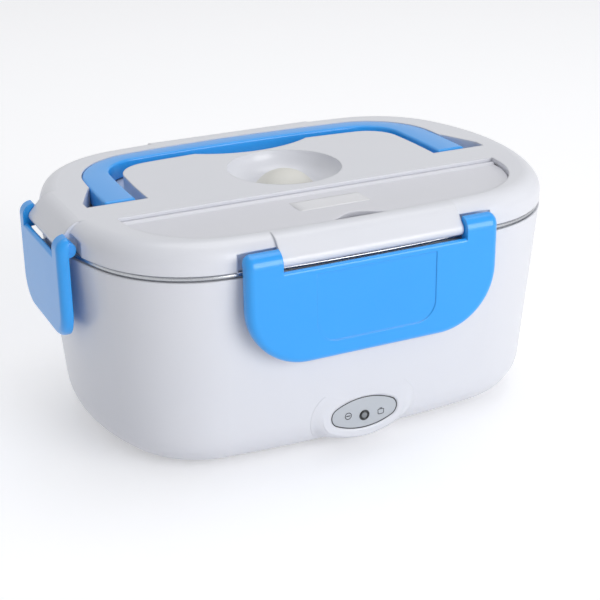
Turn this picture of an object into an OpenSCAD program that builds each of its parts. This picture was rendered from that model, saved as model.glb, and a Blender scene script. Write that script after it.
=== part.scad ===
// Electric lunch box: heated housing, steel food container, clip-on lid with three latches.
// Origin on the table under the middle over all, length along X, lamp side towards -Y, height along Z.

/* [Body outline] */
// Half the length at the rim, in the middle of the ends
half_len = 112; // [104:1:130]
// Half the width at the rim, in the middle of the long sides
half_wid = 77; // [72:1:90]
// Corner radius of the rim, seen from above
corner_r = 50; // [44:1:54]
// How far the ends bulge beyond a straight line
end_bow = 5; // [3:0.5:7]
// How far the long sides bulge beyond a straight line
side_bow = 3; // [2:0.5:5]

/* [Housing] */
// Height of the housing rim above the table
rim_z = 92; // [86:1:110]
// How far each wall draws in from the rim down to the table
taper = 7.8; // [5:0.2:9]
// Outer radius along the bottom edge
bottom_r = 20; // [16:1:22]
// Wall of the outer shell
wall = 2.2; // [1.8:0.1:3]
// Depth of the step in the rim that the inner well rests in
rim_step = 2; // [1.5:0.1:3]
// Thickness of the lip outside that step
rim_lip = 1.2; // [0.9:0.1:1.5]
// Height of the rubber feet
foot_h = 2; // [1.5:0.1:4]
// Radius of the rubber feet
foot_r = 7; // [6:0.5:9]
// Feet and case screws, distance from the middle along the length
foot_x = 60; // [54:1:64]
// Feet and case screws, distance from the middle along the width
foot_y = 30; // [26:1:34]

/* [Inner well and heater] */
// Air gap between shell and well
well_gap = 1; // [0.6:0.1:2]
// Wall of the well
well_wall = 1.6; // [1.2:0.1:2.2]
// Height of the well floor above the table
well_floor_z = 24; // [22:0.5:28]
// Inner radius along the bottom edge of the well
well_r = 12; // [10:1:16]
// Radius of the heating plate where it shows in the well floor
plate_r = 34; // [28:1:42]
// How far the rim under the heating plate reaches past the opening
plate_lip = 4; // [3:0.5:6]
// Thickness of the heating plate's rim
plate_t = 1.6; // [1.2:0.1:2.5]
// Length of the heater block
heater_l = 48; // [40:1:56]
// Width of the heater block
heater_w = 18; // [14:1:22]
// Thickness of the heater block
heater_t = 4.6; // [3:0.1:5.5]
// Thickness of the clamp's sheet
clamp_t = 1; // [0.8:0.1:1.4]
// Width of the clamp's strap
clamp_w = 12; // [9:1:16]
// Radius of the thermostat
stat_r = 8; // [6:0.5:9]
// Height of the thermostat
stat_h = 6; // [4:0.5:7]
// Radius of the thermal fuse
fuse_r = 2; // [1.5:0.1:3]
// Length of the thermal fuse
fuse_l = 14; // [10:1:20]
// Radius of the case screws' bosses
boss_r = 4; // [3.5:0.1:5]
// Radius of the screws' shanks
screw_r = 1.4; // [1.2:0.1:1.8]
// Radius of the screws' heads
head_r = 2.8; // [2.4:0.1:3.3]
// Height of the screws' heads
head_h = 1.2; // [0.8:0.1:1.4]

/* [Lamp and inlet] */
// Height of the lamp above the table
lamp_z = 18.6; // [17:0.2:20]
// Half the width of the oval lamp panel
panel_l = 16; // [13:0.5:18]
// Half the height of the oval lamp panel
panel_w = 7.4; // [6.4:0.2:8.4]
// Margin of the moulded boss round the lamp panel
lamp_rim = 4; // [2.5:0.5:5]
// How far the lamp boss stands out from the wall beside the lamp
boss_out = 0.6; // [0.3:0.1:1.5]
// Thickness of the lamp panel
panel_t = 1.2; // [0.8:0.1:2]
// Radius of the lamp lens
lens_r = 2.4; // [2:0.1:3]
// Radius of the light inside the lens
led_r = 1.5; // [1.2:0.1:1.8]
// Height of the power inlet above the table
inlet_z = 14.4; // [13:0.2:15]
// Spacing of the inlet's two pins
pin_gap = 8.6; // [8:0.1:9.2]
// Radius of the inlet's pins
pin_r = 1.2; // [1:0.05:1.3]
// Radius of the rounded ends of the inlet's recess
recess_r = 4.1; // [3.8:0.1:4.6]
// Depth of the inlet's recess
recess_d = 12; // [10:0.5:13]
// Wall of the inlet socket
socket_wall = 1.4; // [1.1:0.1:1.8]
// Margin of the moulded boss round the power inlet
inlet_rim = 6; // [4:0.5:7]

/* [Food container] */
// Gap between well and container
cont_gap = 0.6; // [0.4:0.1:1.5]
// Thickness of the steel sheet
steel = 0.8; // [0.6:0.1:1]
// Radius of the rolled rim bead
bead_r = 1.1; // [0.9:0.1:1.3]
// Inner radius along the container's bottom edge
cont_r = 11; // [9:1:14]

/* [Side dish] */
// Where the side dish's straight wall stands along the length
dish_x = 26; // [10:1:40]
// Wall of the side dish
dish_wall = 1.4; // [1.1:0.1:2]
// Height of the side dish without its cover
dish_h = 54; // [40:1:58]
// Thickness of the side dish cover
dish_cover_t = 1.2; // [1:0.1:2]

/* [Lid] */
// Height of the lid above its lower edge
lid_h = 12.4; // [12:0.1:14]
// Radius along the lid's top edge
lid_edge_r = 8; // [6:0.5:9]
// Skin of the lid
lid_wall = 2; // [1.6:0.1:2.4]
// Walls of the pockets moulded into the lid
pocket_wall = 1.8; // [1.4:0.1:2.2]
// Thickness of the lid's inner liner
liner_t = 1.2; // [1:0.1:1.4]
// Depth of the lid's pockets below its top
pocket_d = 8.8; // [8.6:0.1:9]
// Gap between the lid and the container's bead
seam_gap = 0.3; // [0.2:0.1:0.5]

/* [Carry handle] */
// Half the length across the handle's arms
handle_l = 86; // [82:1:90]
// Distance from the middle to the handle's rear edge
handle_y = 60.5; // [57:0.5:63]
// Outer corner radius of the handle
handle_r = 32; // [28:1:36]
// Width of the handle's strap
strap_w = 13.2; // [11:0.2:15]
// Thickness of the handle's strap
strap_t = 6.8; // [6:0.2:7]
// Rounding along the strap's edges
strap_round = 1.8; // [1:0.1:2.4]
// Gap between handle and groove
groove_gap = 2.6; // [2:0.1:3.5]
// How far the groove flares out beside the handle's ends
flare = 8.5; // [5:0.5:10]
// Where the handle's pivot stands along the width
handle_pivot_y = -0.6; // [-3:0.2:3]
// Radius of the handle's studs
handle_stud_r = 2.2; // [1.8:0.1:2.6]
// How far the studs reach into the lid
handle_stud_in = 4; // [3:0.5:6]
// Half the width of the finger well beside the handle
finger_l = 28; // [20:1:34]
// Depth of the finger well
finger_d = 8; // [5:0.5:9]

/* [Steam vent] */
// Where the vent stands along the width
vent_y = 7; // [5:0.5:9]
// Radius of the vent bowl at the lid's top
vent_r = 26; // [22:0.5:27]
// Radius of the silicone plug
plug_r = 13.4; // [10:0.2:14]
// Height of the plug's dome
plug_h = 7; // [5:0.2:8]
// Radius of the plug's stem
stem_r = 4.6; // [3:0.2:6]

/* [Spoon compartment] */
// Half the length of the compartment
tray_l = 91; // [86:1:94]
// Distance from the middle to the compartment's front edge
tray_y = 68; // [66:0.5:69]
// Corner radius of the compartment
tray_r = 38; // [34:1:42]
// Distance from the middle to the ridge behind the compartment
ridge_y = 25; // [23:0.5:26]
// How far the spoon cover's top lies below the lid's top
cover_drop = 2.2; // [1.6:0.1:2.6]
// Thickness of the spoon cover
cover_t = 1.6; // [1.2:0.1:2]
// Width of the ledge that the cover rests on
ledge_w = 3; // [2:0.2:4]
// Half the width of the cover's finger notch
notch_l = 14.6; // [10:0.2:18]
// Depth of the cover's finger notch
notch_d = 8; // [5:0.5:10]
// Radius of the cover's studs
cover_stud_r = 0.8; // [0.6:0.05:1]
// Length of the spoon
spoon_l = 150; // [130:1:160]
// Half the width of the spoon's bowl
spoon_w = 13; // [10:0.5:15]
// Thickness of the spoon
spoon_t = 1; // [0.8:0.1:1.4]

/* [Latches] */
// Half the width of the front and back latches
long_half = 57.5; // [54:0.5:62]
// Half the width of the end latch
short_half = 29.5; // [26:0.5:32]
// Width of the ears beside the hinge bar of the long latches
long_ear = 16; // [12:0.5:20]
// Width of the ears beside the hinge bar of the end latch
short_ear = 8.5; // [7:0.5:11]
// Height of the long latches' lower edge above the table
long_z = 53; // [48:1:60]
// Height of the end latch's lower edge above the table
short_z = 57; // [50:1:64]
// Lower corner radius of the long latches
long_r = 27; // [20:1:29]
// Lower corner radius of the end latch
short_r = 14; // [10:1:18]
// Thickness of the latch's face
latch_t = 2.6; // [2:0.1:3]
// Thickness of the latch's side walls
latch_side = 2.4; // [2:0.1:3]
// Rounding along the latch's front edges
latch_round = 3.2; // [2.8:0.1:3.6]
// Depth of the shallow panel sunk into the long latches' faces
latch_sunk = 0.3; // [0.2:0.1:0.5]
// Radius of the ears round the hinge axis
ear_r = 5.2; // [4.8:0.1:5.6]
// Radius of the lid's hinge bars
bar_r = 2.8; // [2.5:0.1:3]
// Radius of the latch studs
stud_r = 1.4; // [1.1:0.1:1.6]
// Length of the latch studs
stud_l = 4; // [3:0.5:5]
// How far the catch on the housing stands out
catch_out = 1.8; // [1.4:0.1:2]
// Height of the catch on the housing
catch_h = 2.6; // [2:0.1:3.2]
// Depth of the catch below the housing rim
catch_drop = 3.4; // [3:0.1:4]
// How far the latch hooks reach under the catches
hook_in = 1; // [0.6:0.1:1.2]

/* [Hidden] */
$fn = 64;
// Segments of the corners and of the long arcs
corner_fn = 128;
arc_fn = 480;
// Clearance of a pin in its bore, on the radius
pin_fit = 0.05;
// Clearance between parts of different bodies that don't touch
free_gap = 0.4;
// Clearance between parts that seat in each other
seat_gap = 0.2;
// Air under a rim or cover that rests on another part, and under the floors of the tubs
rest_gap = 0.1;
floor_gap = 0.5;
// How far a cut runs past the face that it opens
past = 1;
// Depth inwards from the outline to which swept rings reach
ring_d = 30;
// Overlap of a flat middle plate with its swept ring
lap = 2;
// Overlap of a small feature with what it stands on
bite = 0.5;
// Degrees by which swept arcs run past their seams before they are cut
sweep_spare = 2;

// Tilt of the walls from upright
tilt = atan2(taper, rim_z);
// Lower face of the shell and start of its inside
shell_z = foot_h;
// Offsets from the outer face to the well, the container and the lid's nesting rim
well_off = wall + well_gap;
cont_off = well_off + well_wall + cont_gap;
nest_off = cont_off + steel + cont_gap;
// Underside of the well floor
well_under_z = well_floor_z - well_wall;
// Underside of the container's rolled rim and of its floor
bead_z = rim_z + rest_gap;
cont_z = well_floor_z + floor_gap;
// Lower edge and top of the lid, and the floor of its pockets
lid_z = bead_z + 2 * bead_r + seam_gap;
lid_top = lid_z + lid_h;
pocket_z = lid_top - pocket_d;
liner_z = pocket_z - pocket_wall - liner_t;

// Bowed rounded rectangle, every arc tangent to the next.
// l and w are half sizes over the bows, r the corner radius, bl and bw the bows of ends and sides.
function side_arc(l, w, r, bl, bw) =
    let (cx = l - r - bl)
    (cx * cx + (r + bw) * (r + bw) - r * r) / (2 * bw);
function end_arc(l, w, r, bl, bw) =
    let (cy = w - r - bw)
    (cy * cy + (r + bl) * (r + bl) - r * r) / (2 * bl);
function side_turn(l, w, r, bl, bw) =
    atan2(w - r - bw - (w - side_arc(l, w, r, bl, bw)), l - r - bl);
function end_turn(l, w, r, bl, bw) =
    atan2(w - r - bw, l - r - bl - (l - end_arc(l, w, r, bl, bw)));

module bowed(l, w, r, bl, bw) {
    sa = side_arc(l, w, r, bl, bw);
    ea = end_arc(l, w, r, bl, bw);
    cx = l - r - bl;
    cy = w - r - bw;
    tx = cx + r * cos(side_turn(l, w, r, bl, bw));
    ty = cy + r * sin(end_turn(l, w, r, bl, bw));
    for (sx = [-1, 1], sy = [-1, 1])
        translate([sx * cx, sy * cy])
            circle(r, $fn = corner_fn);
    for (m = [0, 1])
        mirror([0, m])
            intersection() {
                translate([0, w - sa])
                    circle(sa, $fn = arc_fn);
                translate([-tx, -past])
                    square([2 * tx, w + 2 * past]);
            }
    for (m = [0, 1])
        mirror([m, 0])
            intersection() {
                translate([l - ea, 0])
                    circle(ea, $fn = arc_fn);
                translate([-past, -ty])
                    square([l + 2 * past, 2 * ty]);
            }
}

// Sweeps a profile round a bowed rectangle: profile x = 0 lies on the outline, minus is inwards.
// Neighbouring arcs meet on planes through their centres, cut by polygons with shared corners.
module bowed_sweep(l, w, r, bl, bw) {
    sa = side_arc(l, w, r, bl, bw);
    ea = end_arc(l, w, r, bl, bw);
    st = side_turn(l, w, r, bl, bw);
    et = end_turn(l, w, r, bl, bw);
    corner = [l - r - bl, w - r - bw];
    reach = 1.5 * r;
    side_pt = corner + reach * [cos(st), sin(st)];
    end_pt = corner + reach * [cos(et), sin(et)];
    far_pt = corner + 2 * reach * [cos((st + et) / 2), sin((st + et) / 2)];
    for (mx = [0, 1], my = [0, 1])
        mirror([mx, 0, 0])
            mirror([0, my, 0])
                seam_cut([corner, end_pt, far_pt, side_pt])
                    translate([corner[0], corner[1], 0])
                        rotate_extrude(start = et - sweep_spare, angle = st - et + 2 * sweep_spare,
                            $fn = corner_fn)
                            translate([r, 0])
                                children();
    for (my = [0, 1])
        mirror([0, my, 0])
            seam_cut([corner, side_pt, flip_x(side_pt), flip_x(corner)])
                translate([0, w - sa, 0])
                    rotate_extrude(start = st - sweep_spare, angle = 180 - 2 * (st - sweep_spare),
                        $fn = arc_fn)
                        translate([sa, 0])
                            children();
    for (mx = [0, 1])
        mirror([mx, 0, 0])
            seam_cut([corner, end_pt, flip_y(end_pt), flip_y(corner)])
                translate([l - ea, 0, 0])
                    rotate_extrude(start = -et - sweep_spare, angle = 2 * (et + sweep_spare), $fn = arc_fn)
                        translate([ea, 0])
                            children();
}
function flip_x(p) = [-p[0], p[1]];
function flip_y(p) = [p[0], -p[1]];
// Keeps what stands over a sector of the plan
module seam_cut(points) {
    intersection() {
        children();
        translate([0, 0, -past])
            linear_extrude(lid_top + 2 * past)
                polygon(points);
    }
}

// The lunch box's own outline, drawn in by d, and a sweep round it
module outline(d = 0) {
    bowed(half_len - d, half_wid - d, corner_r - d, end_bow, side_bow);
}
module around() {
    bowed_sweep(half_len, half_wid, corner_r, end_bow, side_bow)
        children();
}

// Section inside the tilted wall, offset by t, over a floor with a bottom edge of radius r
module wall_inside(t, floor_z, r, top_z) {
    cz = floor_z + r;
    cu = -(t + r + (rim_z - cz) * sin(tilt)) / cos(tilt);
    intersection() {
        union() {
            translate([cu, cz])
                circle(r);
            polygon([
                [-ring_d, floor_z],
                [cu, floor_z],
                [cu, cz],
                [cu + r * cos(tilt), cz - r * sin(tilt)],
                [-(t + (rim_z - top_z) * sin(tilt)) / cos(tilt), top_z],
                [-ring_d, top_z]
            ]);
        }
        translate([-ring_d, floor_z])
            square([ring_d + past, top_z - floor_z]);
    }
}

// Solid tub and hollow tub inside the tilted wall
module tub_solid(t, floor_z, r, top_z) {
    around()
        wall_inside(t, floor_z, r, top_z);
    translate([0, 0, floor_z])
        linear_extrude(top_z - floor_z)
            outline(ring_d - lap);
}
module tub(t, thick, floor_z, r, top_z) {
    around()
        difference() {
            wall_inside(t, floor_z, r + thick, top_z);
            wall_inside(t + thick, floor_z + thick, r, top_z + past);
        }
    translate([0, 0, floor_z])
        linear_extrude(thick)
            outline(ring_d - lap);
}

// Oval of two end arcs and two tangent side arcs, half sizes l and w, end radius r
module oval(l, w, r) {
    c = l - r;
    sa = (c * c + w * w - r * r) / (2 * (w - r));
    tx = c + r * cos(atan2(sa - w, c));
    for (s = [-1, 1])
        translate([s * c, 0])
            circle(r);
    intersection() {
        translate([0, w - sa])
            circle(sa);
        translate([0, sa - w])
            circle(sa);
        square([2 * tx, 2 * (w + past)], center = true);
    }
}

// Two round ends joined by a bar, centres c apart
module capsule(c, r) {
    for (s = [-1, 1])
        translate([s * c / 2, 0])
            circle(r);
    square([c, 2 * r], center = true);
}

// Extrusion of a drawing in the XZ plane from y0 towards +Y over depth d
module from_front(y0, d) {
    translate([0, y0 + d, 0])
        rotate([90, 0, 0])
            linear_extrude(d)
                children();
}
// Extrusion along X over half to each side of a drawing in the YZ plane
module along_x(half) {
    translate([-half, 0, 0])
        rotate([90, 0, 90])
            linear_extrude(2 * half)
                children();
}
// Cylinder along X starting at x0
module rod_x(x0, l, r) {
    translate([x0, 0, 0])
        rotate([0, 90, 0])
            cylinder(h = l, r = r);
}
module four_feet() {
    for (sx = [-1, 1], sy = [-1, 1])
        translate([sx * foot_x, sy * foot_y, 0])
            children();
}
module mirrored_x() {
    for (m = [0, 1])
        mirror([m, 0, 0])
            children();
}

// Housing

// Flat face of the lamp boss and of the inlet boss
lamp_y = -(half_wid - taper * (rim_z - lamp_z) / rim_z + boss_out);
inlet_y = half_wid - taper * (rim_z - lamp_z) / rim_z + boss_out;
// Distance from the lamp boss's face to the board behind it
boss_in = 7;
// How far both bosses reach in before the shell's inside is cut
boss_d = 14;
lamp_end_r = 4.6;
lens_out = 0.5;
// Size of the board behind the lamp, and the posts that carry it
board_l = 26;
board_h = 11;
board_t = 1.2;
post_r = 1.5;
// Socket flange beyond its body, and its thickness
flange_w = 1.6;
flange_t = 1;
socket_d = recess_d + 3;
pin_root = 0.3;
// How much shorter than its hinge bar each catch and each hook is, on each side
catch_short = 6;
hook_short = 8;

// Rib with a sloped top, the latch hooks under it
module catch_rib(half) {
    translate([0, hinge_out, rim_z - catch_drop - catch_h - hinge_z])
        along_x(half - catch_short)
            polygon([
                [-catch_out, 0],
                [wall, 0],
                [wall, catch_h],
                [0, catch_h],
                [-catch_out, catch_h / 2]
            ]);
}

module outer_shell() {
    color("whitesmoke") centred()
        difference() {
            union() {
                difference() {
                    union() {
                        tub_solid(0, shell_z, bottom_r, rim_z);
                        translate([0, 0, lamp_z])
                            from_front(lamp_y, boss_d)
                                oval(panel_l + lamp_rim, panel_w + lamp_rim, lamp_end_r + lamp_rim);
                        translate([0, 0, inlet_z])
                            from_front(inlet_y - boss_d, boss_d)
                                capsule(pin_gap + inlet_rim, recess_r + inlet_rim);
                    }
                    tub_solid(wall, shell_z + wall, bottom_r - wall, rim_z + past);
                }
                mirrored_x()
                    translate([board_l / 2 - 2 * post_r, board_y, lamp_z])
                        rotate([90, 0, 0])
                            cylinder(h = boss_in - 2 * panel_t, r = post_r);
                for (side = [-1, 1])
                    at_long(side)
                        catch_rib(long_bar);
                at_left()
                    catch_rib(short_bar);
            }
            translate([0, 0, rim_z - rim_step])
                linear_extrude(rim_step + past)
                    outline(rim_lip);
            translate([0, 0, lamp_z])
                from_front(lamp_y - past, panel_t + past)
                    oval(panel_l + seat_gap, panel_w + seat_gap, lamp_end_r + seat_gap);
            translate([0, lamp_y - past, lamp_z])
                rotate([-90, 0, 0])
                    cylinder(h = boss_in + 2 * past, r = lens_r + bite);
            translate([0, 0, inlet_z])
                from_front(inlet_y - boss_d - past, boss_d + 2 * past)
                    capsule(pin_gap, recess_r + socket_wall + seat_gap);
            four_feet() {
                translate([0, 0, shell_z - past])
                    cylinder(h = head_h + past, r = head_r + seat_gap);
                translate([0, 0, shell_z])
                    cylinder(h = wall + past, r = screw_r + seat_gap);
            }
        }
}

module inner_well() {
    boss_z = shell_z + wall;
    color("gainsboro") centred()
        difference() {
            union() {
                tub(well_off, well_wall, well_under_z, well_r, rim_z);
                translate([0, 0, rim_z - rim_step])
                    linear_extrude(rim_step)
                        difference() {
                            outline(rim_lip + seat_gap);
                            outline(well_off + well_wall);
                        }
                four_feet()
                    translate([0, 0, boss_z])
                        cylinder(h = well_under_z - boss_z + well_wall / 2, r = boss_r);
            }
            translate([0, 0, well_under_z - past])
                cylinder(h = well_wall + 2 * past, r = plate_r + seat_gap);
            four_feet()
                translate([0, 0, boss_z - past])
                    cylinder(h = well_under_z - boss_z - well_wall + past, r = screw_r);
        }
}

module rubber_feet() {
    color("dimgray") centred()
        four_feet()
            cylinder(h = foot_h, r = foot_r);
}

module case_screws() {
    color("silver") centred()
        four_feet() {
            translate([0, 0, shell_z])
                cylinder(h = head_h, r = head_r);
            translate([0, 0, shell_z])
                cylinder(h = well_under_z - shell_z - 2 * well_wall, r = screw_r);
        }
}

// Heater

plate_z = well_under_z - plate_t;
clamp_z = plate_z - heater_t - clamp_t;
clamp_foot = 8;
heater_gap = 1;
clamp_half = heater_l / 2 + seat_gap + clamp_t + clamp_foot;
clamp_screw_x = clamp_half - clamp_foot / 2;
// How far the clamp's screws reach into the plate
clamp_screw_in = 2;

module heating_plate() {
    color("lightgray") centred()
        difference() {
            union() {
                translate([0, 0, plate_z])
                    cylinder(h = plate_t, r = plate_r + plate_lip);
                translate([0, 0, plate_z])
                    cylinder(h = plate_t + well_wall + seat_gap, r = plate_r);
            }
            mirrored_x()
                translate([clamp_screw_x, 0, plate_z - past])
                    cylinder(h = clamp_screw_in + past, r = screw_r);
        }
}

module ptc_heater() {
    color("sienna") centred()
        translate([-heater_l / 2, -heater_w / 2, plate_z - heater_t])
            cube([heater_l, heater_w, heater_t]);
}

module heater_clamp() {
    inner = heater_l / 2 + seat_gap;
    half = [
        [inner + clamp_t, clamp_z],
        [inner + clamp_t, plate_z - clamp_t],
        [clamp_half, plate_z - clamp_t],
        [clamp_half, plate_z],
        [inner, plate_z],
        [inner, clamp_z + clamp_t]
    ];
    color("darkgray") centred()
        difference() {
            from_front(-clamp_w / 2, clamp_w)
                polygon(concat(half, [for (i = [len(half) - 1:-1:0]) flip_x(half[i])]));
            mirrored_x()
                translate([clamp_screw_x, 0, plate_z - clamp_t - past])
                    cylinder(h = clamp_t + 2 * past, r = screw_r + seat_gap);
        }
}

module clamp_screws() {
    color("silver") centred()
        mirrored_x()
            translate([clamp_screw_x, 0, plate_z - clamp_t]) {
                translate([0, 0, -head_h])
                    cylinder(h = head_h, r = head_r);
                translate([0, 0, -head_h])
                    cylinder(h = head_h + clamp_t + clamp_screw_in, r = screw_r);
            }
}

module thermostat() {
    color("dimgray") centred()
        translate([0, heater_w / 2 + heater_gap + stat_r, plate_z - stat_h])
            cylinder(h = stat_h, r = stat_r);
}

module thermal_fuse() {
    color("linen") centred()
        translate([0, -heater_w / 2 - heater_gap - fuse_r, plate_z - fuse_r])
            rod_x(-fuse_l / 2, fuse_l, fuse_r);
}

// Lamp

board_y = lamp_y + boss_in;

module indicator_board() {
    color("seagreen") centred()
        translate([-board_l / 2, board_y, lamp_z - board_h / 2])
            cube([board_l, board_t, board_h]);
}

module indicator_led() {
    color("orangered") centred()
        translate([0, board_y, lamp_z])
            rotate([90, 0, 0])
                cylinder(h = boss_in - panel_t, r = led_r);
}

module lamp_panel() {
    color("silver") centred()
        difference() {
            translate([0, 0, lamp_z])
                from_front(lamp_y, panel_t)
                    oval(panel_l, panel_w, lamp_end_r);
            translate([0, lamp_y - past, lamp_z])
                rotate([-90, 0, 0])
                    cylinder(h = panel_t + 2 * past, r = lens_r);
        }
}

module lamp_lens() {
    color("black") centred()
        translate([0, lamp_y - lens_out, lamp_z])
            rotate([-90, 0, 0])
                cylinder(h = panel_t + lens_out, r = lens_r);
}

// Power inlet

module inlet_socket() {
    color("dimgray") centred()
        translate([0, 0, inlet_z])
            difference() {
                union() {
                    from_front(inlet_y - socket_d, socket_d)
                        capsule(pin_gap, recess_r + socket_wall);
                    from_front(inlet_y, flange_t)
                        capsule(pin_gap, recess_r + socket_wall + flange_w);
                }
                from_front(inlet_y + flange_t - recess_d, recess_d + past)
                    capsule(pin_gap, recess_r);
                for (s = [-1, 1])
                    translate([s * pin_gap / 2, inlet_y - socket_d - past, 0])
                        rotate([-90, 0, 0])
                            cylinder(h = socket_d, r = pin_r + pin_root);
            }
}

// The pins have a thicker root in the socket, stop short of its mouth and stand out behind it
module inlet_pins() {
    pin_back = 3;
    pin_short = 1.6;
    root_l = socket_d + pin_back + flange_t - recess_d;
    color("silver") centred()
        for (s = [-1, 1])
            translate([s * pin_gap / 2, inlet_y - socket_d - pin_back, inlet_z])
                rotate([-90, 0, 0]) {
                    cylinder(h = root_l, r = pin_r + pin_root);
                    cylinder(h = root_l + recess_d - pin_short, r = pin_r);
                }
}

// Food container

bead_in = 0.5;
cont_top = bead_z + steel;

module food_container() {
    color("lightsteelblue") centred() {
        around() {
            difference() {
                wall_inside(cont_off, cont_z, cont_r + steel, cont_top);
                wall_inside(cont_off + steel, cont_z + steel, cont_r, cont_top + past);
            }
            translate([-bead_in - bead_r, bead_z + bead_r])
                circle(bead_r);
            translate([-cont_off - steel / 2, bead_z])
                square([cont_off + steel / 2 - bead_in - bead_r, steel]);
        }
        translate([0, 0, cont_z])
            linear_extrude(steel)
                outline(ring_d - lap);
    }
}

// Side dish

dish_off = cont_off + steel + cont_gap;
dish_z = cont_z + steel + floor_gap;
dish_top = dish_z + dish_h;
dish_r = 9;
// Height of the cover's lip, and how far it stays clear of the dish's tapered wall
cover_lip_h = 3;
cover_lip_in = 1.6;

// Keeps what lies beyond x on the right of the box
module beyond(x) {
    intersection() {
        children();
        translate([x, -half_wid, 0])
            cube([half_len, 2 * half_wid, lid_top]);
    }
}

module side_dish() {
    color("azure") centred()
        difference() {
            beyond(dish_x)
                tub_solid(dish_off, dish_z, dish_r + dish_wall, dish_top);
            beyond(dish_x + dish_wall)
                tub_solid(dish_off + dish_wall, dish_z + dish_wall, dish_r, dish_top + past);
        }
}

module side_dish_cover() {
    drawn_in = taper * (rim_z - dish_top) / rim_z;
    color("skyblue") centred() {
        translate([0, 0, dish_top + rest_gap])
            linear_extrude(dish_cover_t)
                intersection() {
                    outline(dish_off + drawn_in);
                    translate([dish_x, -half_wid])
                        square([half_len, 2 * half_wid]);
                }
        translate([0, 0, dish_top + rest_gap - cover_lip_h])
            linear_extrude(cover_lip_h)
                intersection() {
                    outline(dish_off + dish_wall + cover_lip_in + drawn_in);
                    translate([dish_x + dish_wall + free_gap, -half_wid])
                        square([half_len, 2 * half_wid]);
                }
    }
}

// Lid

hinge_z = lid_z + bar_r + seat_gap;
// How far the hinge axes stand outside the outline
hinge_out = 0.3;
long_hinge = half_wid + hinge_out;
short_hinge = half_len + hinge_out;
long_bar = long_half - long_ear;
short_bar = short_half - short_ear;
ear_gap = 0.5;
handle_bow_l = 1;
handle_bow_w = 2.5;
handle_in_z = pocket_z + free_gap;
handle_axis_z = handle_in_z + strap_t / 2;
// Face of the groove wall that carries the handle's studs
stud_face = handle_l - strap_w - groove_gap;
tray_bow_l = 1;
tray_bow_w = 2;
cover_top = lid_top - cover_drop;
// Height of the ledge that the spoon cover rests on
seat_z = cover_top - cover_t - seat_gap;
cover_axis_y = -ridge_y - cover_t / 2 - 1;
cover_axis_z = cover_top - cover_t / 2;
// Half the distance between the ends of the cover at its axis
cover_end = tray_l - tray_bow_l - free_gap;
cover_stud_l = 2;
// Material round the bores of the cover's studs
bore_wall = 1;
// Distance from the handle's corners over which the groove flares out
flare_run = 10;
// Centre of the lid's edge rounding seen from a hinge axis, and the way that the apron between them faces
edge_c = [hinge_out + lid_edge_r, lid_top - lid_edge_r - hinge_z];
apron_turn = atan2(edge_c[1], edge_c[0]) + acos((bar_r - lid_edge_r) / norm(edge_c));

// Section inside the lid's skin, offset by t, reaching in by depth
module lid_inside(t, depth, low_z) {
    r = lid_edge_r - t;
    intersection() {
        union() {
            translate([-lid_edge_r, lid_top - lid_edge_r])
                circle(r);
            translate([-depth, low_z])
                square([depth - t, lid_top - lid_edge_r - low_z]);
            translate([-depth, low_z])
                square([depth - lid_edge_r, lid_top - t - low_z]);
        }
        translate([-depth, low_z])
            square([depth, lid_top - low_z]);
    }
}

// Solid of the lid's outer form
module lid_solid() {
    around()
        lid_inside(0, ring_d, lid_z);
    translate([0, 0, lid_z])
        linear_extrude(lid_h)
            outline(ring_d - lap);
}

// Handle groove grown by g, seen from above
module groove(g) {
    front = handle_pivot_y - strap_t / 2 - groove_gap - g;
    grow = groove_gap + g;
    difference() {
        intersection() {
            bowed(handle_l + grow, handle_y + grow, handle_r + grow, handle_bow_l, handle_bow_w);
            translate([-half_len, front])
                square([2 * half_len, half_wid - front]);
        }
        bowed(handle_l - strap_w - grow, handle_y - strap_w - grow, handle_r - strap_w - grow,
            handle_bow_l, handle_bow_w);
    }
    for (m = [0, 1])
        mirror([m, 0])
            polygon([
                [handle_l, front],
                [handle_l + groove_gap + flare + g, front],
                [handle_l + groove_gap + flare + g, handle_pivot_y + g],
                [handle_l + groove_gap + g, handle_y - handle_r - flare_run + g],
                [handle_l, handle_y - handle_r - flare_run + g]
            ]);
    finger_well(g);
}

// Shallow bay on the inner side of the groove, room for the fingers
module finger_well(g) {
    inner = handle_y - strap_w - groove_gap;
    r = (finger_l * finger_l + finger_d * finger_d) / (2 * finger_d);
    intersection() {
        translate([0, inner - handle_bow_w / 2 - finger_d + r])
            circle(r + g);
        translate([-half_len, inner - finger_d - 2 * handle_bow_w])
            square([2 * half_len, finger_d + 3 * handle_bow_w]);
    }
}

// Spoon compartment drawn in by d on its curved sides, behind rear_y
module tray(d, rear_y) {
    intersection() {
        bowed(tray_l - d, tray_y - d, tray_r - d, tray_bow_l, tray_bow_w);
        translate([-half_len, -half_wid])
            square([2 * half_len, half_wid + rear_y]);
    }
}

// Circle that cuts the finger notch into the spoon cover's front edge
module notch(g = 0) {
    r = (notch_l * notch_l + notch_d * notch_d) / (2 * notch_d);
    translate([0, notch_d - tray_y - r])
        circle(r + g);
}

// Vent bowl grown by g
module vent_bowl(g) {
    round_r = pocket_d;
    translate([0, vent_y, lid_top]) {
        rotate_extrude()
            intersection() {
                union() {
                    translate([vent_r - round_r, 0])
                        circle(round_r + g);
                    translate([0, -round_r - g])
                        square([vent_r - round_r, round_r + g + past]);
                }
                translate([0, -round_r - g])
                    square([vent_r + g, round_r + g]);
            }
    }
}

// Moves a piece to the right, because only the left end carries a latch: the whole box is then centred
module centred() {
    translate([(hinge_out + ear_r) / 2, 0, 0])
        children();
}

// Places its children on a latch's hinge axis, local X along the bar and -Y outwards
module at_long(side) {
    rotate([0, 0, side < 0 ? 0 : 180])
        translate([0, -long_hinge, hinge_z])
            children();
}
module at_left() {
    rotate([0, 0, -90])
        translate([0, -short_hinge, hinge_z])
            children();
}

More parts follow.
